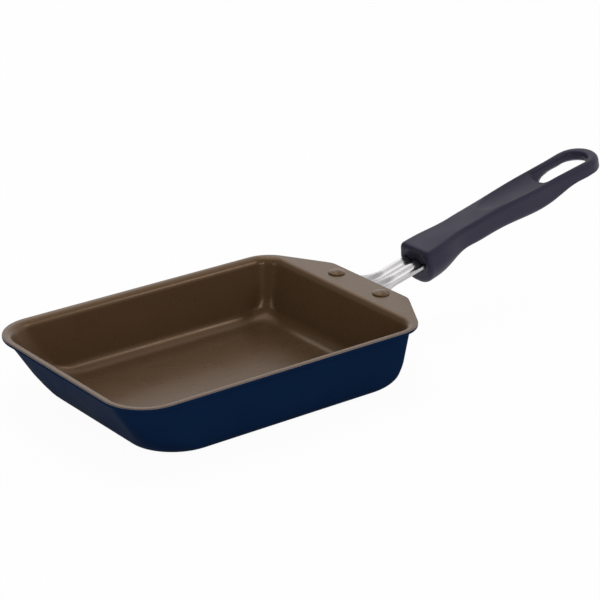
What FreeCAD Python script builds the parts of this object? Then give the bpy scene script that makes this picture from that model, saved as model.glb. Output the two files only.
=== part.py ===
"""Rectangular rolled-omelette pan: a pressed pan with a riveting tab, a steel neck and a moulded grip.

Units are millimetres. The origin is on the underside of the base, below the middle of the mouth.
+X runs from the slanted front wall to the handle, and +Z is up.
"""
import FreeCAD, Part
import math
import os
from FreeCAD import Vector

# Pan pressing
mouth_length = 188.0        # inside length, where the walls meet the rim plane
mouth_width = 134.0         # inside width, where the walls meet the rim plane
inside_depth = 36.2         # rim plane down to the cooking floor
metal_thickness = 2.25      # aluminium sheet
lining_thickness = 0.25     # non-stick skin on the cooking side
front_slope = 32.6          # degrees from vertical
back_slope = 10.1
side_slope = 7.63
floor_bend = 8.5            # inside radius between floor and walls
rim_bend = 4.6              # radius over the top of the walls, on the cooking side
front_corner = 20.0         # inside plan radius at the mouth
back_corner = 11.5
front_floor_corner = 28.0   # plan radius of the flat floor's corners
back_floor_corner = 16.0
corner_flare_rise = 5.0     # how far above the floor bend the corners start to open out
rim_reach = 5.5             # mouth line out to the cut edge of the rim, at the sides
front_rim_reach = 4.0       # the same at the front
rim_corner = 25.0           # plan radius of the rim's front corners

# Riveting tab at the back of the rim
tab_reach = 22.5            # mouth line out to the tab's edge
tab_inset = 38.0            # side of the rim in to the sharp corner of the tab's edge
tab_flank_angle = 31.0      # degrees between the flank and the tab's edge
tab_corner = 10.0
shoulder_corner = 20.5      # plan radius where the side of the rim turns into the flank

# Rivets
rivet_inset = 14.2          # sharp corner of the tab's edge in to the rivet
rivet_edge_distance = 8.8   # tab's edge back to the rivets
rivet_head_diameter = 10.0
rivet_head_height = 2.1
rivet_shank_diameter = 5.0
rivet_tail_diameter = 8.4
rivet_tail_height = 1.7
rivet_clearance = 0.05      # radial gap between shank and holes

# Steel neck bracket
bracket_sheet = 1.8
plate_side_margin = 10.9    # rivet centre out to the side of the plate
plate_back_margin = 8.1     # rivet centre back towards the pan
plate_front_margin = 6.6    # rivet centre on towards the handle
plate_corner = 5.0
plate_straight = 0.5        # least straight edge left between plate corner and flare
neck_width = 19.4
neck_flare = 16.0           # concave radius between plate and neck
neck_rise = 14.3            # degrees
neck_bend_offset = 7.6      # tab's edge out to the line where the neck turns up
neck_bend_run = 9.0         # half the length over which it turns
groove_run = 8.0            # length under the tab's edge over which the grooves sink to their depth
groove_depth = 1.7          # two pressed grooves stiffen the neck
neck_reach = 31.6           # tab's edge out to the grip's front face
tongue_width = 13.0         # narrow end inside the grip
tongue_length = 43.0        # grip's front face to the tongue's end
tongue_start = 3.0          # grip's front face to the start of the taper
tongue_taper = 5.0
tongue_corner = 2.0
tongue_clearance = 0.2

# Moulded grip, measured along its sloping top face
grip_length = 146.6
grip_roof = 8.1             # neck's edges up to the top face
grip_bow = 3.5              # how far the top face has dropped at the tip
bow_start = 46.0            # straight as far as this, so that the tongue lies flat
front_width = 25.8          # top face, at the front
chin_width = 32.1           # underside, at the front
chin_depth = 22.6
chin_run = 11.4             # length over which the chin keeps its depth
throat_at = 25.8            # where the chin has run out
throat_width = 21.2
throat_low_width = 21.6
throat_depth = 15.4
waist_at = 47.0
waist_width = 21.0
waist_low_width = 20.2
waist_depth = 14.7
belly_from_tip = 50.6
belly_width = 24.7
belly_low_width = 23.6
belly_depth = 16.0
loop_from_tip = 29.6        # where the even thickness of the hanging loop starts
loop_width = 26.4
loop_depth = 9.6
tip_width = 28.2            # the loop widens towards its round end
tip_depth = 8.35
loop_spread = 0.6           # how much wider the loop is below than above
grip_crease = 2.5           # radius along the top face's edges
loop_crease = 3.2
grip_under = 4.0            # radius along the underside's edges
loop_under = 0.9
front_round = 3.0           # radius round the front face
front_crease = 3.5          # radius along the top face's edges, at the front
chin_under = 12.5           # radius along the chin's edges
front_lean = 0.25           # front face: 0 is square to the top face, 1 is upright
dish_width = 22.6           # oval dish in the front face, where the neck goes in
dish_height = 13.4
dish_depth = 1.5
dish_rise = 0.2             # neck's edges up to the dish's middle
dish_offset = 1.2           # front face out to the middle of the dish's ellipsoid

# Hanging hole and thumb scoop in the grip
hang_hole_width = 17.0
hang_hole_length = 38.6
hang_hole_wall = 7.6        # tip back to the hole
hang_hole_front_corner = 3.4
hang_hole_back_corner = 8.3
hang_hole_round = 2.5       # radius round the hole's upper edge
bevel_setback = 8.5         # hole's front to the start of the bevel below
bevel_depth = 5.4           # top face down to the bevel's inner edge
bevel_front_width = 3.2
bevel_back_width = 4.4
bevel_height = 2.9
bevel_corner_growth = 0.8   # growth of the bevel's corners over its width
scoop_half_length = 44.0
scoop_setback = 8.0         # hole's front to the scoop's deepest place
scoop_half_width = 11.0
scoop_depth = 2.9
scoop_offset = 9.1          # top face up to the middle of the scoop's ellipsoid

# Grip screw and its lock washer
screw_from_front = 13.5
screw_diameter = 4.0
screw_clearance = 0.15
screw_head_diameter = 7.6
screw_head_height = 2.4
screw_head_round = 0.9
screw_end_above = 2.4       # neck's edges up to the screw's end
screw_boss = 1.5            # wall between tongue slot and head seat
screw_drive_width = 1.0
screw_drive_length = 4.4
screw_drive_depth = 1.3
head_clearance = 0.5
washer_diameter = 7.2
washer_thickness = 0.9
washer_split = 0.8

sew_gap = 1e-4              # widest gap closed between neighbouring faces

# Levels and places worked out from the sizes above
wall = metal_thickness + lining_thickness
rim_z = inside_depth + wall
floor_bend_z = wall + floor_bend
rim_bend_z = rim_z - rim_bend
flare_z = floor_bend_z + corner_flare_rise
tab_edge_x = mouth_length / 2 + tab_reach
tab_width = mouth_width + 2 * (rim_reach - tab_inset)
rivet_x = tab_edge_x - rivet_edge_distance
rivet_spacing = tab_width - 2 * rivet_inset
plate_top_z = rim_z - wall
neck_slope = math.tan(math.radians(neck_rise))
neck_bend_x = tab_edge_x + neck_bend_offset
grip_front_x = tab_edge_x + neck_reach


def radians(*angles):
    """Angles in degrees as a tuple in radians."""
    return tuple(math.radians(angle) for angle in angles)


def flat(z):
    """Places outline points (x, y) on the level z."""
    return lambda x, y: Vector(x, y, z)


def rounded_loop(corners, place):
    """Closed wire through the corners (a, b, radius), each rounded by a tangent arc."""
    arcs = []
    for index, (a, b, radius) in enumerate(corners):
        here = Vector(a, b, 0)
        last = Vector(*corners[index - 1][:2], 0)
        following = Vector(*corners[(index + 1) % len(corners)][:2], 0)
        back = (last - here).normalize()
        ahead = (following - here).normalize()
        half = back.getAngle(ahead) / 2
        middle = here + (back + ahead).normalize() * (radius / math.sin(half) - radius)
        cut = radius / math.tan(half)
        points = (here + back * cut, middle, here + ahead * cut)
        arcs.append([place(point.x, point.y) for point in points])
    edges = []
    for index, (start, middle, end) in enumerate(arcs):
        edges.append(Part.LineSegment(arcs[index - 1][2], start).toShape())
        edges.append(Part.Arc(start, middle, end).toShape())
    return Part.Wire(edges)


def mirrored(corners):
    """The corners of one half (y below zero), followed by their mirror images in reverse order."""
    return corners + [(a, -b, radius) for a, b, radius in reversed(corners)]


def prism(wire, direction):
    """Solid swept by a flat outline."""
    return Part.Face(wire).extrude(direction)


def lofted(sections, ruled=False):
    """Solid through a run of sections."""
    return Part.makeLoft(sections, True, ruled)


def joined(solids):
    """One solid from pieces that share faces."""
    return solids[0].multiFuse(solids[1:]).removeSplitter()


# Pan pressing and lining

def wall_inset(slope, z, below):
    """Distance of a wall inside the mouth line, on the surface that lies 'below' under the finish."""
    if z < floor_bend_z - (floor_bend + below) * math.sin(slope):
        tangent_z = floor_bend_z - floor_bend * math.sin(slope)
        centre = (rim_z - tangent_z) * math.tan(slope) + floor_bend * math.cos(slope)
        return centre - math.sqrt(max((floor_bend + below) ** 2 - (floor_bend_z - z) ** 2, 0))
    if z > rim_bend_z + (rim_bend - below) * math.sin(slope):
        centre = -rim_bend * (1 - math.sin(slope)) / math.cos(slope)
        return centre + math.sqrt(max((rim_bend - below) ** 2 - (z - rim_bend_z) ** 2, 0))
    return (rim_z - z) * math.tan(slope) - below / math.cos(slope)


def corner_radius(mouth_corner, floor_corner, z, below):
    """Plan radius of an upright corner, which opens out where it runs into the floor."""
    side = math.radians(side_slope)
    if z >= flare_z:
        return mouth_corner - wall_inset(side, z, below)
    turn = math.acos(min(max((floor_bend_z - z) / (floor_bend + below), 0), 1))
    level = max(z, floor_bend_z - floor_bend * math.cos(turn))
    foot = mouth_corner - wall_inset(side, flare_z, 0)
    share = ((flare_z - level) / (flare_z - wall)) ** 2
    return foot + (floor_corner - foot) * share + below * math.sin(turn)


def pan_section(z, below):
    """Level section of the pan's inside, on the surface that lies 'below' under the finish."""
    front, back, side = radians(front_slope, back_slope, side_slope)
    front_x = -mouth_length / 2 + wall_inset(front, z, below)
    back_x = mouth_length / 2 - wall_inset(back, z, below)
    side_y = mouth_width / 2 - wall_inset(side, z, below)
    front_radius = corner_radius(front_corner, front_floor_corner, z, below)
    back_radius = corner_radius(back_corner, back_floor_corner, z, below)
    corners = [(front_x, -side_y, front_radius), (back_x, -side_y, back_radius)]
    return rounded_loop(mirrored(corners), flat(z))


def pan_surface(below):
    """Faces of the pan's inside, 'below' under the finish, and the wire round their top."""
    rim_steps = radians(*range(0, 91, 15))
    floor_steps = radians(*range(90, -1, -10))
    rim = [pan_section(rim_bend_z + (rim_bend - below) * math.cos(step), below) for step in rim_steps]
    flare = [pan_section(flare_z - corner_flare_rise * share, below) for share in (0, 0.25, 0.5, 0.75)]
    foot = [pan_section(floor_bend_z - (floor_bend + below) * math.cos(step), below) for step in floor_steps]
    faces = Part.makeLoft(rim).Faces
    faces += Part.makeLoft([rim[-1], flare[0]], False, True).Faces
    faces += Part.makeLoft(flare + foot).Faces
    faces.append(Part.Face(foot[-1]))
    return faces, rim[0]


def rim_outline(z):
    """Cut edge of the rim, with the riveting tab at the back."""
    side_y = mouth_width / 2 + rim_reach
    flank = math.tan(math.radians(tab_flank_angle))
    shoulder_x = tab_edge_x - (side_y - tab_width / 2) * flank
    corners = [
        (-mouth_length / 2 - front_rim_reach, -side_y, rim_corner),
        (shoulder_x, -side_y, shoulder_corner),
        (tab_edge_x, -tab_width / 2, tab_corner),
    ]
    return rounded_loop(mirrored(corners), flat(z))


def rivet_holes():
    """Shank holes through tab and bracket."""
    radius = rivet_shank_diameter / 2 + rivet_clearance
    depth = wall + bracket_sheet
    holes = []
    for side in (-1, 1):
        foot = Vector(rivet_x, side * rivet_spacing / 2, rim_z - depth)
        holes.append(Part.makeCylinder(radius, depth, foot))
    return holes


def pan_layer(upper, lower):
    """The pressing between two depths under the finish, with its rim, tab and rivet holes."""
    faces = []
    outlines = []
    for below in (upper, lower):
        surface, top = pan_surface(below)
        outline = rim_outline(rim_z - below)
        faces += surface
        faces.append(Part.makeFace([outline, top], "Part::FaceMakerBullseye"))
        outlines.append(outline)
    faces += Part.makeLoft(outlines, False, True).Faces
    shell = Part.makeShell(faces)
    shell.sewShape(sew_gap)
    body = Part.makeSolid(shell)
    if body.Volume < 0:
        body.reverse()
    return body.cut(rivet_holes())


# Rivets

def domed_disc(diameter, height):
    """Spherical cap that stands on z = 0."""
    radius = diameter / 2
    sphere = (radius ** 2 + height ** 2) / (2 * height)
    ball = Part.makeSphere(sphere, Vector(0, 0, height - sphere))
    return ball.common(Part.makeCylinder(radius, height))


def rivet(side):
    """Domed rivet: head on the lining, shank through tab and plate, tail under the plate."""
    grip = wall + bracket_sheet
    head = domed_disc(rivet_head_diameter, rivet_head_height)
    tail = domed_disc(rivet_tail_diameter, rivet_tail_height)
    tail.rotate(Vector(0, 0, 0), Vector(1, 0, 0), 180)
    tail.translate(Vector(0, 0, -grip))
    shank = Part.makeCylinder(rivet_shank_diameter / 2, grip, Vector(0, 0, -grip))
    body = joined([shank, head, tail])
    body.translate(Vector(rivet_x, side * rivet_spacing / 2, rim_z))
    return body


# Steel neck bracket

def neck_level(x):
    """Height of the neck's upper edges: level on the plate, then a smooth turn into the rise."""
    start = neck_bend_x - neck_bend_run
    if x <= start:
        return plate_top_z
    if x >= neck_bend_x + neck_bend_run:
        return plate_top_z + (x - neck_bend_x) * neck_slope
    return plate_top_z + (x - start) ** 2 * neck_slope / (4 * neck_bend_run)


def groove(x, y):
    """Depth of the two pressed grooves, which fade out on the plate."""
    if abs(y) >= neck_width / 2:
        return 0.0
    share = min(max((x - tab_edge_x) / groove_run + 1, 0), 1)
    fade = share * share * (3 - 2 * share)
    return groove_depth * fade * (1 - math.cos(4 * math.pi * y / neck_width)) / 2


def sheet_section(x, half_width, room=0.0):
    """Upright section across the bracket's sheet, with 'room' above and below it."""
    steps = 4 * math.ceil(half_width)
    across = [half_width * (2 * step / steps - 1) for step in range(steps + 1)]
    top = [Vector(x, y, neck_level(x) - groove(x, y) + room) for y in across]
    under = [point - Vector(0, 0, bracket_sheet + 2 * room) for point in top]
    curves = []
    for points in (top, under[::-1]):
        curve = Part.BSplineCurve()
        curve.interpolate(points)
        curves.append(curve.toShape())
    sides = [Part.LineSegment(top[-1], under[-1]).toShape(), Part.LineSegment(under[0], top[0]).toShape()]
    return Part.Wire([curves[0], sides[0], curves[1], sides[1]])


def bracket_outline():
    """Plan of the bracket: plate under the tab, flared neck, narrow tongue inside the grip."""
    plate_y = rivet_spacing / 2 + plate_side_margin
    plate_end_x = rivet_x + plate_front_margin
    flare = min(neck_flare, plate_y - neck_width / 2 - plate_corner - plate_straight)
    taper_x = grip_front_x + tongue_start
    corners = [
        (rivet_x - plate_back_margin, -plate_y, plate_corner),
        (plate_end_x, -plate_y, plate_corner),
        (plate_end_x, -neck_width / 2, flare),
        (taper_x, -neck_width / 2, tongue_corner),
        (taper_x + tongue_taper, -tongue_width / 2, tongue_corner),
        (grip_front_x + tongue_length, -tongue_width / 2, tongue_corner),
    ]
    return rounded_loop(mirrored(corners), flat(0))


def handle_bracket():
    """Pressed sheet, cut to its plan, with rivet holes and the screw's hole."""
    half_width = rivet_spacing / 2 + plate_side_margin + plate_corner
    start_x = rivet_x - plate_back_margin - plate_corner
    bend_start = tab_edge_x - groove_run
    bend_end = neck_bend_x + neck_bend_run
    end_x = grip_front_x + tongue_length + tongue_corner
    stations = [bend_start + (bend_end - bend_start) * step / 20 for step in range(21)]
    bend = [sheet_section(x, half_width) for x in stations]
    plate = prism(bend[0], Vector(start_x - bend_start, 0, 0))
    neck = prism(bend[-1], Vector(1, 0, neck_slope) * (end_x - bend_end))
    sheet = plate.multiFuse([lofted(bend), neck])
    body = sheet.common(prism(bracket_outline(), Vector(0, 0, neck_level(end_x) + rim_z)))
    return body.cut(rivet_holes() + [screw_hole(screw_diameter / 2 + screw_clearance)])


# Moulded grip

def bow(distance):
    """Drop of the bowed top face and the angle of its bend, at a distance from the front."""
    span = grip_length - bow_start
    share = max(distance - bow_start, 0) / span
    return grip_bow * share ** 2, math.atan(2 * grip_bow * share / span)


def along_grip(distance, across, down, lean=0.0):
    """Point on a grip section: lean 0 is square to the top face, lean 1 is upright."""
    rise = math.radians(neck_rise)
    drop, bend = bow(distance)
    tilt = (rise - bend) * (1 - lean)
    top = Vector(grip_front_x, 0, neck_level(grip_front_x) + grip_roof / math.cos(rise))
    spine = Vector(math.cos(rise), 0, math.sin(rise)) * distance
    spine += Vector(math.sin(rise), 0, -math.cos(rise)) * drop
    return top + spine + Vector(math.sin(tilt) * down, across, -math.cos(tilt) * down)


def grip_section(distance, size, crease, under, lean=0.0, shrink=0.0):
    """Section across the grip: flat top, nearly upright sides, rounded underside."""
    top_width, low_width, depth = size
    lower = (-low_width / 2 + shrink, depth - shrink, under - shrink)
    upper = (-top_width / 2 + shrink, shrink, crease - shrink)
    corners = [lower, upper]
    corners += [(-across, down, radius) for across, down, radius in reversed(corners)]
    return rounded_loop(corners, lambda across, down: along_grip(distance, across, down, lean))


def between(first, second, share):
    """Sizes part of the way from the first to the second."""
    return [a + (b - a) * share for a, b in zip(first, second)]


def grip_front():
    """Rounded edge round the front face."""
    sections = []
    for step in radians(*range(0, 91, 15)):
        shrink = front_round * (1 - math.sin(step))
        distance = front_round * (1 - math.cos(step))
        size = (front_width, chin_width, chin_depth)
        sections.append(grip_section(distance, size, front_crease, chin_under, front_lean, shrink))
    return lofted(sections)


def grip_tip_at():
    """Distance of the last straight section, where the round end of the loop starts."""
    return grip_length - tip_width / 2


def grip_spine():
    """Chin, throat, waist, belly and loop, up to the loop's round end."""
    belly_at = grip_length - belly_from_tip
    loop_at = grip_length - loop_from_tip
    front = (front_width, chin_width, chin_depth)
    throat = (throat_width, throat_low_width, throat_depth)
    waist = (waist_width, waist_low_width, waist_depth)
    belly = (belly_width, belly_low_width, belly_depth)
    loop = (loop_width, loop_width + loop_spread, loop_depth)
    tip = (tip_width, tip_width + loop_spread, tip_depth)
    chin = between(front, throat, 0.12)
    jaw = between(front, throat, 0.5)
    middle = between(waist, belly, 0.4)
    jaw_at = (chin_run + throat_at) / 2
    middle_at = (waist_at + belly_at) / 2
    soft = (front_crease, chin_under)
    plain = (grip_crease, grip_under)
    slim = (loop_crease, loop_under)
    sections = [
        grip_section(front_round, front, *soft, front_lean),
        grip_section(chin_run, chin, *between(soft, plain, 0.12), front_lean),
        grip_section(jaw_at, jaw, *between(soft, plain, 0.5), front_lean * 0.8),
        grip_section(throat_at, throat, *plain, front_lean * 0.5),
        grip_section(waist_at, waist, *plain),
        grip_section(middle_at, middle, *plain),
        grip_section(belly_at, belly, *plain),
    ]
    for share, drop in ((0.37, 0.25), (0.63, 0.58), (1.0, 1.0)):
        size = between(belly, loop, drop)
        rounds = between(plain, slim, drop)
        sections.append(grip_section(belly_at + (loop_at - belly_at) * share, size, *rounds))
    sections.append(grip_section((loop_at + grip_tip_at()) / 2, between(loop, tip, 0.6), *slim))
    sections.append(grip_section(grip_tip_at(), tip, *slim))
    return lofted(sections)


def grip_tip():
    """Round end of the hanging loop, turned from half of the last section."""
    at = grip_tip_at()
    size = (tip_width, tip_width + loop_spread, tip_depth)
    section = Part.Face(grip_section(at, size, loop_crease, loop_under))
    half = [along_grip(at, across, down) for across, down in
            ((0, -tip_depth), (tip_width, -tip_depth), (tip_width, 2 * tip_depth), (0, 2 * tip_depth))]
    keep = Part.Face(Part.makePolygon(half + half[:1]))
    axis = half[0] - half[3]
    return section.common(keep).revolve(half[0], axis, -180)


def ellipsoid(centre, semi_axes, slope, poles):
    """Ellipsoid with its long axis in the slope. Its surface's poles lie along 'poles'."""
    ball = Part.makeSphere(1.0)
    ball.rotate(Vector(0, 0, 0), Vector(0, 0, 1), 180)
    if poles == "across":
        ball.rotate(Vector(0, 0, 0), Vector(1, 0, 0), 90)
    stretch = FreeCAD.Matrix()
    stretch.scale(*semi_axes)
    shape = ball.transformGeometry(stretch)
    shape.rotate(Vector(0, 0, 0), Vector(0, 1, 0), -math.degrees(slope))
    shape.translate(centre)
    return shape


def front_dish():
    """Shallow oval hollow in the front face, where the neck goes in."""
    deep = dish_depth + dish_offset
    opening = math.sqrt(1 - (dish_offset / deep) ** 2)
    slope = math.radians(neck_rise) * (1 - front_lean)
    centre = along_grip(0, 0, grip_roof - dish_rise, front_lean)
    centre -= Vector(math.cos(slope), 0, math.sin(slope)) * dish_offset
    return ellipsoid(centre, (deep, dish_width / 2 / opening, dish_height / 2 / opening), slope, "upright")


def sheet_room():
    """Hollow that follows the pressed neck and its tongue, with clearance all round."""
    room = tongue_clearance
    front_x = grip_front_x - front_round
    step_x = grip_front_x + tongue_start + tongue_taper + room
    end_x = grip_front_x + tongue_length + room
    sheet = prism(sheet_section(front_x, neck_width, room), Vector(1, 0, neck_slope) * 2 * tongue_length)
    wide = neck_width / 2 + room
    narrow = tongue_width / 2 + room
    plan = [(front_x, wide), (step_x, wide), (step_x, narrow), (end_x, narrow)]
    plan += [(x, -y) for x, y in reversed(plan)]
    outline = Part.makePolygon([Vector(x, y, 0) for x, y in plan + plan[:1]])
    return sheet.common(prism(outline, Vector(0, 0, neck_level(end_x) + rim_z)))


def loop_wire(front, back, halves, corners, down):
    """Rounded outline parallel to the top face of the loop, 'down' below it."""
    middle = grip_length - hang_hole_wall - hang_hole_length / 2
    centre = along_grip(middle, 0, down)
    slope = math.radians(neck_rise) - bow(middle)[1]
    ahead = Vector(math.cos(slope), 0, math.sin(slope))
    outline = [(front, -halves[0], corners[0]), (back, -halves[1], corners[1])]

    def place(along, across):
        return centre + ahead * (along - middle) + Vector(0, across, 0)

    return rounded_loop(mirrored(outline), place)


def hang_hole():
    """Long hole for a hook, square to the top face, with a rounded upper edge."""
    back = grip_length - hang_hole_wall
    front = back - hang_hole_length
    half = hang_hole_width / 2

    def outline(grow, down):
        corners = (hang_hole_front_corner + grow, hang_hole_back_corner + grow)
        return loop_wire(front - grow, back + grow, (half + grow, half + grow), corners, down)

    edge = []
    for step in radians(*range(0, 91, 15)):
        edge.append(outline(hang_hole_round * (1 - math.sin(step)), hang_hole_round * (1 - math.cos(step))))
    above = lofted([outline(hang_hole_round, -belly_depth), edge[0]], True)
    below = lofted([edge[-1], outline(0, 2 * belly_depth)], True)
    return [above, lofted(edge), below]


def loop_bevel():
    """Bevel round the hole's lower edge, which leaves the loop slim to the touch."""
    back = grip_length - hang_hole_wall
    front = back - hang_hole_length + bevel_setback
    half = hang_hole_width / 2

    def outline(front_grow, back_grow, down):
        corners = [hang_hole_back_corner + bevel_corner_growth * grow for grow in (front_grow, back_grow)]
        halves = (half + front_grow, half + back_grow)
        return loop_wire(front - front_grow, back + back_grow, halves, corners, down)

    outer = outline(bevel_front_width, bevel_back_width, bevel_depth + bevel_height)
    slant = lofted([outline(0, 0, bevel_depth), outer], True)
    below = outline(bevel_front_width, bevel_back_width, 2 * belly_depth)
    return [slant, lofted([outer, below], True)]


def thumb_scoop():
    """Long dish in the top face, which runs out beside the hole."""
    deepest_at = grip_length - hang_hole_wall - hang_hole_length - scoop_setback
    deep = scoop_depth + scoop_offset
    opening = math.sqrt(1 - (scoop_offset / deep) ** 2)
    slope = math.radians(neck_rise) - bow(deepest_at)[1]
    centre = along_grip(deepest_at, 0, -scoop_offset)
    semi_axes = (scoop_half_length / opening, scoop_half_width / opening, deep)
    return ellipsoid(centre, semi_axes, slope, "across")


def handle_grip():
    """The whole moulding, with its hollows."""
    body = joined([grip_front(), grip_spine(), grip_tip()])
    hollows = [front_dish(), sheet_room(), thumb_scoop(), *hang_hole(), *loop_bevel()]
    hollows += [screw_hole(screw_diameter / 2 + screw_clearance), head_pocket()]
    for hollow in hollows:
        body = body.cut(hollow)
    return body


# Grip screw, lock washer and the hollows they sit in

def screw_place():
    """Point on the neck's edge level, on the screw's axis, and the axis pointing up."""
    level = along_grip(screw_from_front, 0, grip_roof)
    axis = (along_grip(0, 0, -1) - along_grip(0, 0, 0)).normalize()
    return level, axis


def seat_depth():
    """Neck's edges down to the seat of the lock washer."""
    sheet_depth = groove_depth + bracket_sheet / math.cos(math.radians(neck_rise))
    return sheet_depth + tongue_clearance + screw_boss


def screw_hole(radius):
    """Plain hole for the screw's shank, from its seat to just past its end."""
    level, axis = screw_place()
    end = screw_end_above + screw_clearance
    return Part.makeCylinder(radius, seat_depth() + end, level - axis * seat_depth(), axis)


def head_pocket():
    """Counterbore in the chin's underside."""
    level, axis = screw_place()
    radius = screw_head_diameter / 2 + head_clearance
    return Part.makeCylinder(radius, chin_depth, level - axis * seat_depth(), axis * -1)


def lock_washer():
    """Split spring ring between the screw's head and its seat."""
    level, axis = screw_place()
    foot = level - axis * (seat_depth() + washer_thickness)
    outer = Part.makeCylinder(washer_diameter / 2, washer_thickness, foot, axis)
    inner = Part.makeCylinder(screw_diameter / 2 + screw_clearance, washer_thickness, foot, axis)
    split = Part.makeBox(washer_split, washer_diameter, washer_thickness, Vector(-washer_split / 2, 0, 0))
    split.rotate(Vector(0, 0, 0), Vector(0, 1, 0), -neck_rise)
    split.translate(foot)
    return outer.cut([inner, split])


def handle_screw():
    """Pan-head screw with a cross recess, driven up through the chin into the tongue."""
    level, axis = screw_place()
    length = seat_depth() + washer_thickness + screw_end_above
    head = Part.makeCylinder(screw_head_diameter / 2, screw_head_height, Vector(0, 0, -screw_head_height))
    rim = [edge for edge in head.Edges if edge.Closed and edge.BoundBox.ZMax < -screw_head_height / 2]
    head = head.makeFillet(screw_head_round, rim)
    shank = Part.makeCylinder(screw_diameter / 2, length)
    body = joined([shank, head])
    for turn in (0, 90):
        blade = Part.makeBox(screw_drive_length, screw_drive_width, screw_drive_depth,
                             Vector(-screw_drive_length / 2, -screw_drive_width / 2, -screw_head_height))
        blade.rotate(Vector(0, 0, 0), Vector(0, 0, 1), turn)
        body = body.cut(blade)
    body.rotate(Vector(0, 0, 0), Vector(0, 1, 0), -neck_rise)
    body.translate(level - axis * (seat_depth() + washer_thickness))
    return body


nodes = {
    "pan_body": pan_layer(lining_thickness, wall),
    "nonstick_lining": pan_layer(0.0, lining_thickness),
    "rivet_right": rivet(-1),
    "rivet_left": rivet(1),
    "handle_bracket": handle_bracket(),
    "handle_grip": handle_grip(),
    "handle_screw": handle_screw(),
    "lock_washer": lock_washer(),
}

os.makedirs("parts", exist_ok=True)
for name, shape in nodes.items():
    shape.exportStep(f"parts/{name}.step")
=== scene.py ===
import math

import bpy
from mathutils import Matrix, Vector


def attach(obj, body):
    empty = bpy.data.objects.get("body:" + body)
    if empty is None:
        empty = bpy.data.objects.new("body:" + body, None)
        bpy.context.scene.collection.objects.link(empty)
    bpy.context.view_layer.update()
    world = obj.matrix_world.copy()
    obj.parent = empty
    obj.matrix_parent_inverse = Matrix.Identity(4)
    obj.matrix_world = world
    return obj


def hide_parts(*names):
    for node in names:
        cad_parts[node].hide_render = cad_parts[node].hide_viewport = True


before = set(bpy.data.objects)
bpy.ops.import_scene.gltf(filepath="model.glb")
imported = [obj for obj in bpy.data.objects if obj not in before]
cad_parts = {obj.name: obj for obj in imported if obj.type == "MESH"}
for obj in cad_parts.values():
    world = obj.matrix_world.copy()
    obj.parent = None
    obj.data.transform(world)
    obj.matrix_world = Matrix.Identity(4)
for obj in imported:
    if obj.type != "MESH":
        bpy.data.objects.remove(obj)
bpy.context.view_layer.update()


# Pan pressing: one aluminium sheet, deep-drawn to a tray with a slanted front wall, a flat rim and a
# riveting tab, and coated satin navy on the outside. It stands on its flat base.
mm = 0.001
mouth_length = 188
mouth_width = 134
inside_depth = 36.2
sheet = 2.5  # with its lining
lining = 0.25
wall_slopes = [math.radians(angle) for angle in (32.6, 10.1, 7.63)]  # front, back, sides
floor_bend = 8.5
rim_bend = 4.6
mouth_corners = (20, 11.5)  # front, back
floor_corners = (28, 16)
flare_rise = 5
rim_reach = 5.5
front_rim_reach = 4
rim_corner = 25
tab_reach = 22.5
tab_half = 34.5
tab_corner = 10
tab_flank = math.tan(math.radians(31))
shoulder_corner = 20.5
rim_z = inside_depth + sheet
floor_bend_z = sheet + floor_bend
rim_bend_z = rim_z - rim_bend
flare_z = floor_bend_z + flare_rise
tab_edge_x = mouth_length / 2 + tab_reach


def wall_inset(slope, z, below):
    """Distance of a wall inside the mouth line, on the surface 'below' under the finish."""
    if z < floor_bend_z - (floor_bend + below) * math.sin(slope):
        tangent_z = floor_bend_z - floor_bend * math.sin(slope)
        centre = (rim_z - tangent_z) * math.tan(slope) + floor_bend * math.cos(slope)
        return centre - math.sqrt(max((floor_bend + below) ** 2 - (floor_bend_z - z) ** 2, 0))
    if z > rim_bend_z + (rim_bend - below) * math.sin(slope):
        centre = -rim_bend * (1 - math.sin(slope)) / math.cos(slope)
        return centre + math.sqrt(max((rim_bend - below) ** 2 - (z - rim_bend_z) ** 2, 0))
    return (rim_z - z) * math.tan(slope) - below / math.cos(slope)


def corner_radius(which, z, below):
    """Plan radius of an upright corner, which opens out where it runs into the floor."""
    side = wall_slopes[2]
    if z >= flare_z:
        return mouth_corners[which] - wall_inset(side, z, below)
    turn = math.acos(min(max((floor_bend_z - z) / (floor_bend + below), 0), 1))
    level = max(z, floor_bend_z - floor_bend * math.cos(turn))
    foot = mouth_corners[which] - wall_inset(side, flare_z, 0)
    share = ((flare_z - level) / (flare_z - sheet)) ** 2
    return foot + (floor_corners[which] - foot) * share + below * math.sin(turn)


def rounded_ring(corners, arc_steps, side_steps):
    """Points of a closed outline and their outward directions, from corners (x, y, radius)."""
    arcs = []
    for index, (x, y, radius) in enumerate(corners):
        here = Vector((x, y))
        back = (Vector(corners[index - 1][:2]) - here).normalized()
        ahead = (Vector(corners[(index + 1) % len(corners)][:2]) - here).normalized()
        half = back.angle(ahead) / 2
        centre = here + (back + ahead).normalized() * radius / math.sin(half)
        first = here + back * radius / math.tan(half) - centre
        sweep = math.pi - 2 * half
        turn = [sweep * step / arc_steps for step in range(arc_steps + 1)]
        outward = [Matrix.Rotation(angle, 2) @ first.normalized() for angle in turn]
        arcs.append([(centre + way * radius, way) for way in outward])
    ring = []
    for index, arc in enumerate(arcs):
        start, way = arc[-1]
        end = arcs[(index + 1) % len(arcs)][0][0]
        steps = side_steps[index]
        ring += arc
        ring += [(start.lerp(end, step / steps), way) for step in range(1, steps)]
    return ring


corner_steps = 24
mouth_side_steps = (64, 72, 64, 48)
rim_side_steps = (60, 40, 60, 40, 60, 60)


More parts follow.
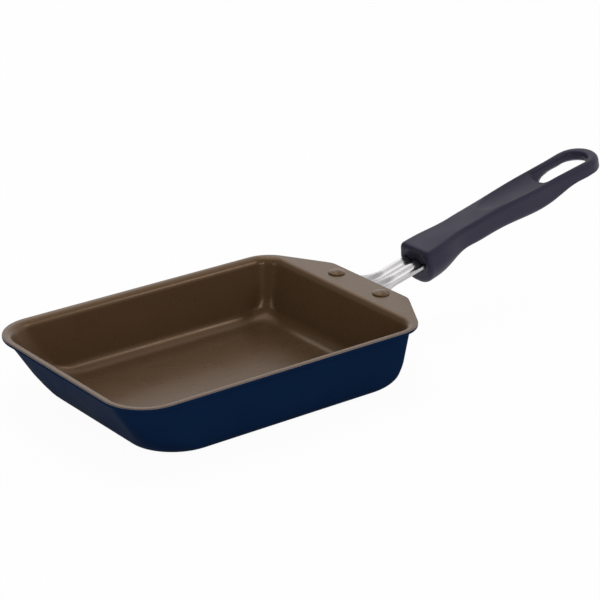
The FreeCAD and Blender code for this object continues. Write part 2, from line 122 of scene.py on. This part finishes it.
def pan_ring(z, below):
    """Level section of the pan, as points with outward directions."""
    front, back, side = (wall_inset(slope, z, below) for slope in wall_slopes)
    y = mouth_width / 2 - side
    front_corner = (-mouth_length / 2 + front, corner_radius(0, z, below))
    back_corner = (mouth_length / 2 - back, corner_radius(1, z, below))
    corners = [(x, sign * y, radius) for sign, order in ((-1, 1), (1, -1))
               for x, radius in (front_corner, back_corner)[::order]]
    return rounded_ring(corners, corner_steps, mouth_side_steps)


rim_side = mouth_width / 2 + rim_reach
shoulder_x = tab_edge_x - (rim_side - tab_half) * tab_flank
rim_corners = [(-mouth_length / 2 - front_rim_reach, -rim_side, rim_corner),
               (shoulder_x, -rim_side, shoulder_corner),
               (tab_edge_x, -tab_half, tab_corner)]
rim_corners += [(x, -y, radius) for x, y, radius in reversed(rim_corners)]
rim_outline = [point for point, way in rounded_ring(rim_corners, corner_steps, rim_side_steps)]


def reach_to_rim(point, way):
    """Distance from a point of the mouth to the rim's cut edge, straight outward."""
    best = math.inf
    for start, end in zip(rim_outline, rim_outline[1:] + rim_outline[:1]):
        run = end - start
        cross = way.x * run.y - way.y * run.x
        if abs(cross) < 1e-9:
            continue
        gap = start - point
        distance = (gap.x * run.y - gap.y * run.x) / cross
        along = (gap.x * way.y - gap.y * way.x) / cross
        if distance > 0 and -1e-6 <= along <= 1 + 1e-6:
            best = min(best, distance)
    return best


bend_step = 6
wall_rows = 14
floor_middle = Vector((6, 0))
floor_shares = (0.97, 0.8, 0.6, 0.4, 0.2, 0.08)
rim_start_share = 0.02


def pan_surface(below):
    """Rings of one surface of the pressing, from the middle of the floor to the start of the rim."""
    foot_steps = [math.radians(angle) for angle in range(0, 91, bend_step)]
    rim_steps = [math.radians(angle) for angle in range(90, -1, -bend_step)]
    levels = [floor_bend_z - (floor_bend + below) * math.cos(step) for step in foot_steps]
    levels += [floor_bend_z + (rim_bend_z - floor_bend_z) * row / wall_rows
               for row in range(1, wall_rows)]
    levels += [rim_bend_z + (rim_bend - below) * math.cos(step) for step in rim_steps]
    rings = [(z, pan_ring(z, below)) for z in levels]
    floor_z, floor_ring = rings[0]
    inner = []
    for share in floor_shares:
        inner.append((floor_z, [(point.lerp(floor_middle, share), way) for point, way in floor_ring]))
    return inner + rings


def rim_rings(below, edge):
    """Rings over the flat rim, then round its edge, given as (setback, drop) from the cut edge."""
    top_z = rim_z - below
    mouth = pan_ring(top_z, below)
    reach = [reach_to_rim(point, way) for point, way in mouth]
    start = [(point + way * far * rim_start_share, way) for (point, way), far in zip(mouth, reach)]
    rings = [(top_z, start)]
    for setback, drop in edge:
        ring = [(point + way * (far - setback), way) for (point, way), far in zip(mouth, reach)]
        rings.append((top_z - drop, ring))
    return rings


def ring_mesh(name, rings):
    """Smooth mesh over rings of equally many points, closed by a face at each end."""
    verts = [(point.x * mm, point.y * mm, z * mm) for z, ring in rings for point, way in ring]
    count = len(rings[0][1])
    faces = []
    for row in range(len(rings) - 1):
        for step in range(count):
            following = (step + 1) % count
            faces.append((row * count + step, (row + 1) * count + step,
                          (row + 1) * count + following, row * count + following))
    faces.append(tuple(range(count)))
    faces.append(tuple(range((len(rings) - 1) * count, len(rings) * count))[::-1])
    mesh = bpy.data.meshes.new(name)
    mesh.from_pydata(verts, [], faces)
    mesh.shade_smooth()
    mesh.validate()
    piece = bpy.data.objects.new(name, mesh)
    bpy.context.scene.collection.objects.link(piece)
    return piece


def edge_arc(radius, start, end, steps):
    """Setbacks and drops round an edge of this radius, between two angles from the top."""
    angles = [math.radians(start + (end - start) * step / steps) for step in range(steps + 1)]
    return [(radius * (1 - math.sin(angle)), radius * (1 - math.cos(angle))) for angle in angles]


edge_round = 0.6
lower_round = 1.1
edge_turn = (lining + 0.08, 0.2)
wrapped_edge = [(edge_round, 0), edge_turn, (lining, edge_round - lining)]
metal_edge = wrapped_edge + [(0, edge_round - lining)]
lower_drop = sheet - lining - 2 * lower_round
lower_arc = edge_arc(lower_round, 90, 180, 6)[:-1]
metal_edge += [(setback, lower_drop + drop) for setback, drop in lower_arc]
upper = pan_surface(lining) + rim_rings(lining, metal_edge)
under = pan_surface(sheet) + rim_rings(sheet, [(lower_round, 0)])
pan_outside = ring_mesh("pan_outside", upper + under[::-1])


def group(name, inputs, outputs):
    """Empty shader node group with float or colour sockets."""
    tree = bpy.data.node_groups.new(name, "ShaderNodeTree")
    for label, kind, value in inputs:
        tree.interface.new_socket(label, in_out="INPUT", socket_type=kind).default_value = value
    for label, kind in outputs:
        tree.interface.new_socket(label, in_out="OUTPUT", socket_type=kind)
    return tree, tree.nodes.new("NodeGroupInput"), tree.nodes.new("NodeGroupOutput")


def node(tree, kind, links=(), **settings):
    """Adds a node, sets its properties and links or sets its inputs."""
    made = tree.nodes.new(kind)
    for key, value in settings.items():
        setattr(made, key, value)
    for socket, source in links:
        if hasattr(source, "is_output"):
            tree.links.new(source, made.inputs[socket])
        else:
            made.inputs[socket].default_value = source
    return made


def coating_speckle():
    """Fine flakes and soft clouding of a sprayed coating: a colour, a height and a roughness shift."""
    tree, given, result = group(
        "coating_speckle",
        [("Colour", "NodeSocketColor", (0.2, 0.2, 0.2, 1)),
         ("Flake Colour", "NodeSocketColor", (0.4, 0.4, 0.4, 1)),
         ("Flakes", "NodeSocketFloat", 0.3),
         ("Clouding", "NodeSocketFloat", 0.1),
         ("Scale", "NodeSocketFloat", 1800.0)],
        [("Colour", "NodeSocketColor"),
         ("Height", "NodeSocketFloat"),
         ("Roughness Shift", "NodeSocketFloat")])
    place = node(tree, "ShaderNodeTexCoord").outputs["Object"]
    fine = node(tree, "ShaderNodeTexNoise",
                [("Vector", place), ("Scale", given.outputs["Scale"]),
                 ("Detail", 2.0), ("Roughness", 0.6)])
    cloud = node(tree, "ShaderNodeTexNoise", [("Vector", place), ("Scale", 55.0), ("Detail", 3.0)])
    spots = node(tree, "ShaderNodeMapRange",
                 [("Value", fine.outputs["Fac"]), ("From Min", 0.5), ("From Max", 0.72)])
    amount = node(tree, "ShaderNodeMath",
                  [(0, spots.outputs["Result"]), (1, given.outputs["Flakes"])], operation="MULTIPLY")
    flaked = node(tree, "ShaderNodeMix",
                  [(0, amount.outputs[0]), (6, given.outputs["Colour"]),
                   (7, given.outputs["Flake Colour"])], data_type="RGBA")
    shade = node(tree, "ShaderNodeMapRange",
                 [("Value", cloud.outputs["Fac"]), ("From Min", 0.3), ("From Max", 0.7),
                  ("To Min", -0.5), ("To Max", 0.5)])
    spread = node(tree, "ShaderNodeMath",
                  [(0, shade.outputs["Result"]), (1, given.outputs["Clouding"])], operation="MULTIPLY")
    gain = node(tree, "ShaderNodeMath", [(0, spread.outputs[0]), (1, 1.0)], operation="ADD")
    clouded = node(tree, "ShaderNodeVectorMath",
                   [(0, flaked.outputs[2]), ("Scale", gain.outputs[0])], operation="SCALE")
    tree.links.new(clouded.outputs[0], result.inputs["Colour"])
    tree.links.new(fine.outputs["Fac"], result.inputs["Height"])
    tree.links.new(spread.outputs[0], result.inputs["Roughness Shift"])
    return tree


speckle = coating_speckle()


def coated(name, finish, roughness, bump, plain):
    """Coated surface: the speckle feeds colour, roughness and bump, 'plain' sets other sockets."""
    material = bpy.data.materials.new(name)
    material.use_nodes = True
    tree = material.node_tree
    shader = tree.nodes["Principled BSDF"]
    effect = node(tree, "ShaderNodeGroup", node_tree=speckle)
    for socket, value in finish.items():
        effect.inputs[socket].default_value = value
    rough = node(tree, "ShaderNodeMath",
                 [(0, effect.outputs["Roughness Shift"]), (1, roughness)], operation="ADD")
    relief = node(tree, "ShaderNodeBump",
                  [("Height", effect.outputs["Height"]), ("Strength", bump), ("Distance", 0.1 * mm)])
    tree.links.new(effect.outputs["Colour"], shader.inputs["Base Color"])
    tree.links.new(rough.outputs[0], shader.inputs["Roughness"])
    tree.links.new(relief.outputs["Normal"], shader.inputs["Normal"])
    for socket, value in plain.items():
        shader.inputs[socket].default_value = value
    return material


navy_finish = {"Colour": (0.004, 0.0142, 0.0438, 1), "Flake Colour": (0.008, 0.0235, 0.068, 1),
               "Flakes": 0.3, "Clouding": 0.1, "Scale": 2200.0}
navy_sheen = {"Specular IOR Level": 0.0005}
pan_outside.data.materials.append(
    coated("navy_coating", navy_finish, roughness=0.3, bump=0.05, plain=navy_sheen))
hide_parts("pan_body")
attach(pan_outside, "root")


# Non-stick lining: a brown coating sprayed over the cooking side, the rim and the tab, with a fine
# sparkle in it. On the rim's rounded edge, where the navy begins, its colour fades to a bluish grey:
# partly the coating thinning out, partly a painted sheen of light on that edge.
flat_end = edge_round + 0.1
lining_edge = [(flat_end, 0)] + edge_arc(edge_round, 0, 90, 8)
lining_upper = pan_surface(0.0) + rim_rings(0.0, lining_edge)
lining_under = pan_surface(lining) + rim_rings(lining, wrapped_edge)
cooking_side = ring_mesh("cooking_side", lining_upper + lining_under[::-1])
ring_size = len(lining_upper[0][1])
# Share of the painted edge sheen and thinning per ring: none on the flats, rising over the rounded
# edge.
thinning_and_sheen = [0.0] * (len(lining_upper) - len(lining_edge))
thinning_and_sheen += [drop / lining_edge[-1][1] for setback, drop in lining_edge]
thinning_and_sheen += [1.0] * len(wrapped_edge) + [0.0] * (len(lining_under) - len(wrapped_edge))
thin_edge_and_sheen = cooking_side.data.attributes.new("thin_edge_and_sheen", "FLOAT", "POINT")
thin_edge_and_sheen.data.foreach_set("value", [value for value in thinning_and_sheen for point in range(ring_size)])

brown_finish = {"Colour": (0.086, 0.049, 0.024, 1), "Flake Colour": (0.16, 0.096, 0.05, 1),
                "Flakes": 0.3, "Clouding": 0.05, "Scale": 2000.0}
# Bluish grey the lining fades to on the rim's edge: partly thinned coating, partly painted sheen of
# light.
edge_grey_thinning_and_sheen = (0.12, 0.12, 0.14, 1)
brown_sheen = {"Specular IOR Level": 0.6, "Specular Tint": (1.0, 0.68, 0.46, 1)}
brown = coated("brown_nonstick", brown_finish, roughness=0.28, bump=0.06, plain=brown_sheen)
tree = brown.node_tree
shader = tree.nodes["Principled BSDF"]
# Mixes the brown towards that grey over the rounded edge: painted sheen along with the thinning
# coating.
thinning_and_sheen_mask = node(tree, "ShaderNodeAttribute", attribute_name="thin_edge_and_sheen")
faded = node(tree, "ShaderNodeMix",
             [(0, thinning_and_sheen_mask.outputs["Fac"]), (6, shader.inputs["Base Color"].links[0].from_socket),
              (7, edge_grey_thinning_and_sheen)], data_type="RGBA")
tree.links.new(faded.outputs[2], shader.inputs["Base Color"])
cooking_side.data.materials.append(brown)
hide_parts("nonstick_lining")
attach(cooking_side, "root")


# Handle bracket: one pressed stainless sheet. A flat plate lies under the tab, a neck with two pressed
# grooves rises from it, and a narrow tongue runs on inside the grip.
bracket_sheet = 1.8
bracket_edge_round = 0.4
rivet_edge_distance = 8.8
rivet_half = 20.3
plate_back_margin = 8.1
plate_front_margin = 6.6
plate_side_margin = 10.9
plate_corner = 5
neck_half = 9.7
neck_flare = 16
neck_rise = math.radians(14.3)
neck_bend_offset = 7.6
neck_bend_run = 9
neck_reach = 31.6
groove_run = 8
groove_depth = 1.7
tongue_half = 6.5
tongue_start = 3
tongue_taper = 5
tongue_length = 43
rivet_x = tab_edge_x - rivet_edge_distance
plate_top_z = rim_z - sheet
plate_start = rivet_x - plate_back_margin
plate_end = rivet_x + plate_front_margin
plate_half = rivet_half + plate_side_margin
neck_bend_x = tab_edge_x + neck_bend_offset
grip_front_x = tab_edge_x + neck_reach
tongue_end = grip_front_x + tongue_length


def neck_level(x):
    """Height of the neck's upper edges: level on the plate, then a smooth turn into the rise."""
    start = neck_bend_x - neck_bend_run
    if x <= start:
        return plate_top_z
    if x >= neck_bend_x + neck_bend_run:
        return plate_top_z + (x - neck_bend_x) * math.tan(neck_rise)
    return plate_top_z + (x - start) ** 2 * math.tan(neck_rise) / (4 * neck_bend_run)


def groove(x, y):
    """Depth of the two pressed grooves, which fade out on the plate."""
    share = min(max((x - tab_edge_x) / groove_run + 1, 0), 1)
    fade = share * share * (3 - 2 * share)
    return groove_depth * fade * (1 - math.cos(4 * math.pi * min(abs(y) / (2 * neck_half), 0.5))) / 2


def bracket_half_width(x):
    """Half width of the bracket: plate with round corners, flare, neck, taper and tongue."""
    rounded = plate_half - plate_corner
    if x < plate_start + plate_corner:
        return rounded + math.sqrt(max(plate_corner ** 2 - (plate_start + plate_corner - x) ** 2, 0))
    if x < plate_end - plate_corner:
        return plate_half
    if x < plate_end:
        return rounded + math.sqrt(max(plate_corner ** 2 - (x - plate_end + plate_corner) ** 2, 0))
    if x < plate_end + neck_flare:
        ahead = plate_end + neck_flare - x
        return neck_half + neck_flare - math.sqrt(max(neck_flare ** 2 - ahead ** 2, 0))
    taper = min(max((x - grip_front_x - tongue_start) / tongue_taper, 0), 1)
    return neck_half + (tongue_half - neck_half) * taper


station_gap = 0.6
across_steps = 48
straight_from = plate_start + plate_corner
station_count = int((tongue_end - straight_from) / station_gap) + 1
stations = [straight_from - plate_corner * math.cos(math.radians(angle)) for angle in range(0, 90, 15)]
stations += [straight_from + station_gap * step for step in range(station_count)]
verts = []
for x in stations:
    half = bracket_half_width(x)
    for step in range(across_steps + 1):
        y = half * (2 * step / across_steps - 1)
        verts.append((x * mm, y * mm, (neck_level(x) - groove(x, y)) * mm))
row = across_steps + 1
faces = [(a * row + b, (a + 1) * row + b, (a + 1) * row + b + 1, a * row + b + 1)
         for a in range(len(stations) - 1) for b in range(across_steps)]
mesh = bpy.data.meshes.new("neck_bracket")
mesh.from_pydata(verts, [], faces)
mesh.shade_smooth()
neck_bracket = bpy.data.objects.new("neck_bracket", mesh)
bpy.context.scene.collection.objects.link(neck_bracket)
depth = neck_bracket.modifiers.new("sheet", "SOLIDIFY")
depth.thickness = bracket_sheet * mm
depth.offset = -1
softened = neck_bracket.modifiers.new("edges", "BEVEL")
softened.width = bracket_edge_round * mm
softened.segments = 3
softened.angle_limit = math.radians(50)


def drawn_metal(name, colour, roughness, scale, stretch, bump):
    """Metal with fine drawn lines: they vary the shade, the roughness and a slight bump."""
    material = bpy.data.materials.new(name)
    material.use_nodes = True
    tree = material.node_tree
    shader = tree.nodes["Principled BSDF"]
    place = node(tree, "ShaderNodeTexCoord").outputs["Object"]
    stretched = node(tree, "ShaderNodeMapping", [("Vector", place), ("Scale", stretch)])
    lines = node(tree, "ShaderNodeTexNoise",
                 [("Vector", stretched.outputs[0]), ("Scale", scale), ("Detail", 4.0)]).outputs["Fac"]
    rough = node(tree, "ShaderNodeMapRange",
                 [("Value", lines), ("From Min", 0.3), ("From Max", 0.7),
                  ("To Min", roughness * 0.85), ("To Max", roughness * 1.15)])
    tint = node(tree, "ShaderNodeMapRange",
                [("Value", lines), ("From Min", 0.3), ("From Max", 0.7),
                 ("To Min", 0.96), ("To Max", 1.02)])
    relief = node(tree, "ShaderNodeBump",
                  [("Height", lines), ("Strength", bump), ("Distance", 0.05 * mm)])
    shaded = node(tree, "ShaderNodeVectorMath",
                  [(0, colour), ("Scale", tint.outputs["Result"])], operation="SCALE")
    tree.links.new(shaded.outputs[0], shader.inputs["Base Color"])
    tree.links.new(rough.outputs["Result"], shader.inputs["Roughness"])
    tree.links.new(relief.outputs["Normal"], shader.inputs["Normal"])
    shader.inputs["Metallic"].default_value = 1.0
    return material


neck_bracket.data.materials.append(
    drawn_metal("rolled_stainless", (0.49, 0.48, 0.485), roughness=0.2, scale=2600.0,
                stretch=(0.03, 1.0, 1.0), bump=0.008))
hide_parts("handle_bracket")
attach(neck_bracket, "root")


# Rivets: two domed aluminium rivets with the lining's brown coating. Their shanks pass through tab and
# bracket, and their tails are upset below.
head_radius, head_height, head_lip = 5.0, 2.1, 0.55
shank_radius = 2.5
tail_radius, tail_height = 4.2, 1.7
shank_inset = 0.02
head_steps = 10
tail_steps = 7
turn_steps = 40
least_radius = 0.01


def rivet_profile():
    """Radius and height of the rivet's outline, from the top of its head to the foot of its tail."""
    cap = head_height - head_lip
    ball = (head_radius ** 2 + cap ** 2) / (2 * cap)
    span = math.asin(head_radius / ball)
    outline = []
    for step in range(head_steps + 1):
        angle = span * step / head_steps
        outline.append((ball * math.sin(angle), rim_z + head_height - ball * (1 - math.cos(angle))))
    foot = rim_z - sheet - bracket_sheet
    outline += [(head_radius, rim_z), (shank_radius, rim_z - shank_inset)]
    outline += [(shank_radius, foot + shank_inset), (tail_radius, foot)]
    for step in range(1, tail_steps + 1):
        angle = math.radians(90 * step / tail_steps)
        outline.append((tail_radius * math.cos(angle), foot - tail_height * math.sin(angle)))
    return outline


rivet_brown = coated("rivet_brown", brown_finish, roughness=0.27, bump=0.06, plain=brown_sheen)
for side, name, replaced in ((-1, "rivet_near", "rivet_right"), (1, "rivet_far", "rivet_left")):
    rings = []
    for radius, z in rivet_profile():
        ring = []
        for step in range(turn_steps):
            angle = math.tau * step / turn_steps
            way = Vector((math.cos(angle), math.sin(angle)))
            ring.append((Vector((rivet_x, side * rivet_half)) + way * max(radius, least_radius), way))
        rings.append((z, ring))
    rivet = ring_mesh(name, rings)
    rivet.data.materials.append(rivet_brown)
    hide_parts(replaced)
    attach(rivet, "root")


# Grip: one heat-proof black moulding with a chin, a bowed top, a thumb scoop and a hanging loop, slid
# over the tongue. Its edges are all soft, as they come out of a polished mould.
moulded_grip = bpy.data.objects.new("moulded_grip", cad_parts["handle_grip"].data.copy())
bpy.context.scene.collection.objects.link(moulded_grip)
moulded_grip.data.materials.clear()
even = moulded_grip.modifiers.new("even", "REMESH")
even.mode = "VOXEL"
even.voxel_size = 0.45 * mm
even.use_smooth_shade = True
soft = moulded_grip.modifiers.new("soft", "SMOOTH")
soft.factor = 0.5
soft.iterations = 10

moulding_finish = {"Colour": (0.018, 0.0165, 0.0295, 1), "Flake Colour": (0.026, 0.024, 0.041, 1),
                   "Flakes": 0.3, "Clouding": 0.1, "Scale": 2600.0}
moulding_sheen = {"Specular IOR Level": 0.36, "Specular Tint": (0.76, 0.7, 1.0, 1)}
moulded_grip.data.materials.append(
    coated("grip_black", moulding_finish, roughness=0.48, bump=0.06, plain=moulding_sheen))
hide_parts("handle_grip")
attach(moulded_grip, "root")


# Screw and lock washer: plated steel, sunk in the chin's pocket, where the screw pulls the grip onto
# the tongue. Both keep their machined shapes.
plated = drawn_metal("plated_steel", (0.62, 0.62, 0.63), roughness=0.3, scale=3000.0,
                     stretch=(1.0, 1.0, 1.0), bump=0.06)
for name in ("handle_screw", "lock_washer"):
    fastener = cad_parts[name]
    fastener.data.materials.clear()
    fastener.data.materials.append(plated)


# Studio: a white paper floor and a pale surround, with softboxes left and right of the camera, a small
# one to the right of the handle, a broad one behind the pan and another overhead.
paper_half = 4
paper_corners = [(x * paper_half, y * paper_half, 0) for x, y in ((-1, -1), (1, -1), (1, 1), (-1, 1))]
mesh = bpy.data.meshes.new("floor")
mesh.from_pydata(paper_corners, [], [(0, 1, 2, 3)])
floor = bpy.data.objects.new("floor", mesh)
bpy.context.scene.collection.objects.link(floor)
paper = bpy.data.materials.new("pale_paper")
paper.use_nodes = True
tree = paper.node_tree
shader = tree.nodes["Principled BSDF"]
shader.inputs["Base Color"].default_value = (0.95, 0.95, 0.95, 1)
shader.inputs["Roughness"].default_value = 0.9
shader.inputs["Specular IOR Level"].default_value = 0.0
path = node(tree, "ShaderNodeLightPath")
seen = node(tree, "ShaderNodeMath",
            [(0, path.outputs["Is Camera Ray"]), (1, path.outputs["Is Glossy Ray"])],
            operation="MAXIMUM")
seen = node(tree, "ShaderNodeMath",
            [(0, seen.outputs[0]), (1, path.outputs["Is Transmission Ray"])],
            operation="MAXIMUM")
share = node(tree, "ShaderNodeMath", [(0, seen.outputs[0]), (1, 0.96)], operation="MULTIPLY")
glow = node(tree, "ShaderNodeEmission", [("Color", (1, 1, 1, 1)), ("Strength", 1.0)])
mixed = node(tree, "ShaderNodeMixShader",
             [("Fac", share.outputs[0]), (1, shader.outputs[0]), (2, glow.outputs[0])])
clear = node(tree, "ShaderNodeBsdfTransparent")
sided = node(tree, "ShaderNodeMixShader",
             [("Fac", node(tree, "ShaderNodeNewGeometry").outputs["Backfacing"]),
              (1, mixed.outputs[0]), (2, clear.outputs[0])])
tree.links.new(sided.outputs[0], tree.nodes["Material Output"].inputs["Surface"])
mesh.materials.append(paper)

world = bpy.data.worlds.new("studio")
world.use_nodes = True
bpy.context.scene.world = world
tree = world.node_tree
surround = tree.nodes["Background"]
surround.inputs["Color"].default_value = (1, 1, 1, 1)
path = node(tree, "ShaderNodeLightPath")
direction = node(tree, "ShaderNodeTexCoord").outputs["Generated"]
bright_side = (0.97, 0.24, 0)
towards = node(tree, "ShaderNodeVectorMath",
               [(0, direction), (1, bright_side)], operation="DOT_PRODUCT")
backdrop = node(tree, "ShaderNodeMapRange",
                [("Value", towards.outputs["Value"]), ("From Min", 0.12), ("From Max", 0.6),
                 ("To Min", 0.2), ("To Max", 1.0)])
mirrored = node(tree, "ShaderNodeMath",
                [(0, path.outputs["Is Glossy Ray"]), (1, path.outputs["Is Transmission Ray"])],
                operation="MAXIMUM")
shown = node(tree, "ShaderNodeMix",
             [(0, mirrored.outputs[0]), (2, 0.5), (3, backdrop.outputs["Result"])])
level = node(tree, "ShaderNodeMath",
             [(0, shown.outputs[0]), (1, path.outputs["Is Camera Ray"])], operation="MAXIMUM")
tree.links.new(level.outputs[0], surround.inputs["Strength"])

lamp_target = Vector((0.05, 0, 0.03))
for name, place, size, power in (("left_softbox", (-1.25, 0.03, 0.33), 0.3, 0.9),
                                ("right_softbox", (-0.25, -1.25, 0.4), 0.45, 3.0),
                                ("small_softbox", (0.76, -0.8, 0.8), 0.22, 1.4),
                                ("back_softbox", (0.328, 0.966, 1.071), 0.9, 2.2),
                                ("top_softbox", (0.1, 0.3, 1.6), 1.0, 5.0)):
    lamp = bpy.data.lights.new(name, "AREA")
    lamp.size = size
    lamp.energy = power
    holder = bpy.data.objects.new(name, lamp)
    holder.location = place
    holder.rotation_euler = (lamp_target - Vector(place)).to_track_quat("-Z", "Y").to_euler()
    bpy.context.scene.collection.objects.link(holder)

camera = bpy.data.cameras.new("camera")
camera.lens = 137.8
camera.sensor_width = 36
camera.clip_end = 20
viewer = bpy.data.objects.new("camera", camera)
right = Vector((0.7934, -0.6088, 0))
up = Vector((0.2298, 0.2995, 0.9261))
back = Vector((-0.5637, -0.7347, 0.3775))
standpoint = (-0.66925, -0.9571, 0.5305)
turned = Matrix((right, up, back)).transposed().to_4x4()
viewer.matrix_world = Matrix.Translation(standpoint) @ turned
bpy.context.scene.collection.objects.link(viewer)
bpy.context.scene.camera = viewer
bpy.context.scene.view_settings.view_transform = "Standard"
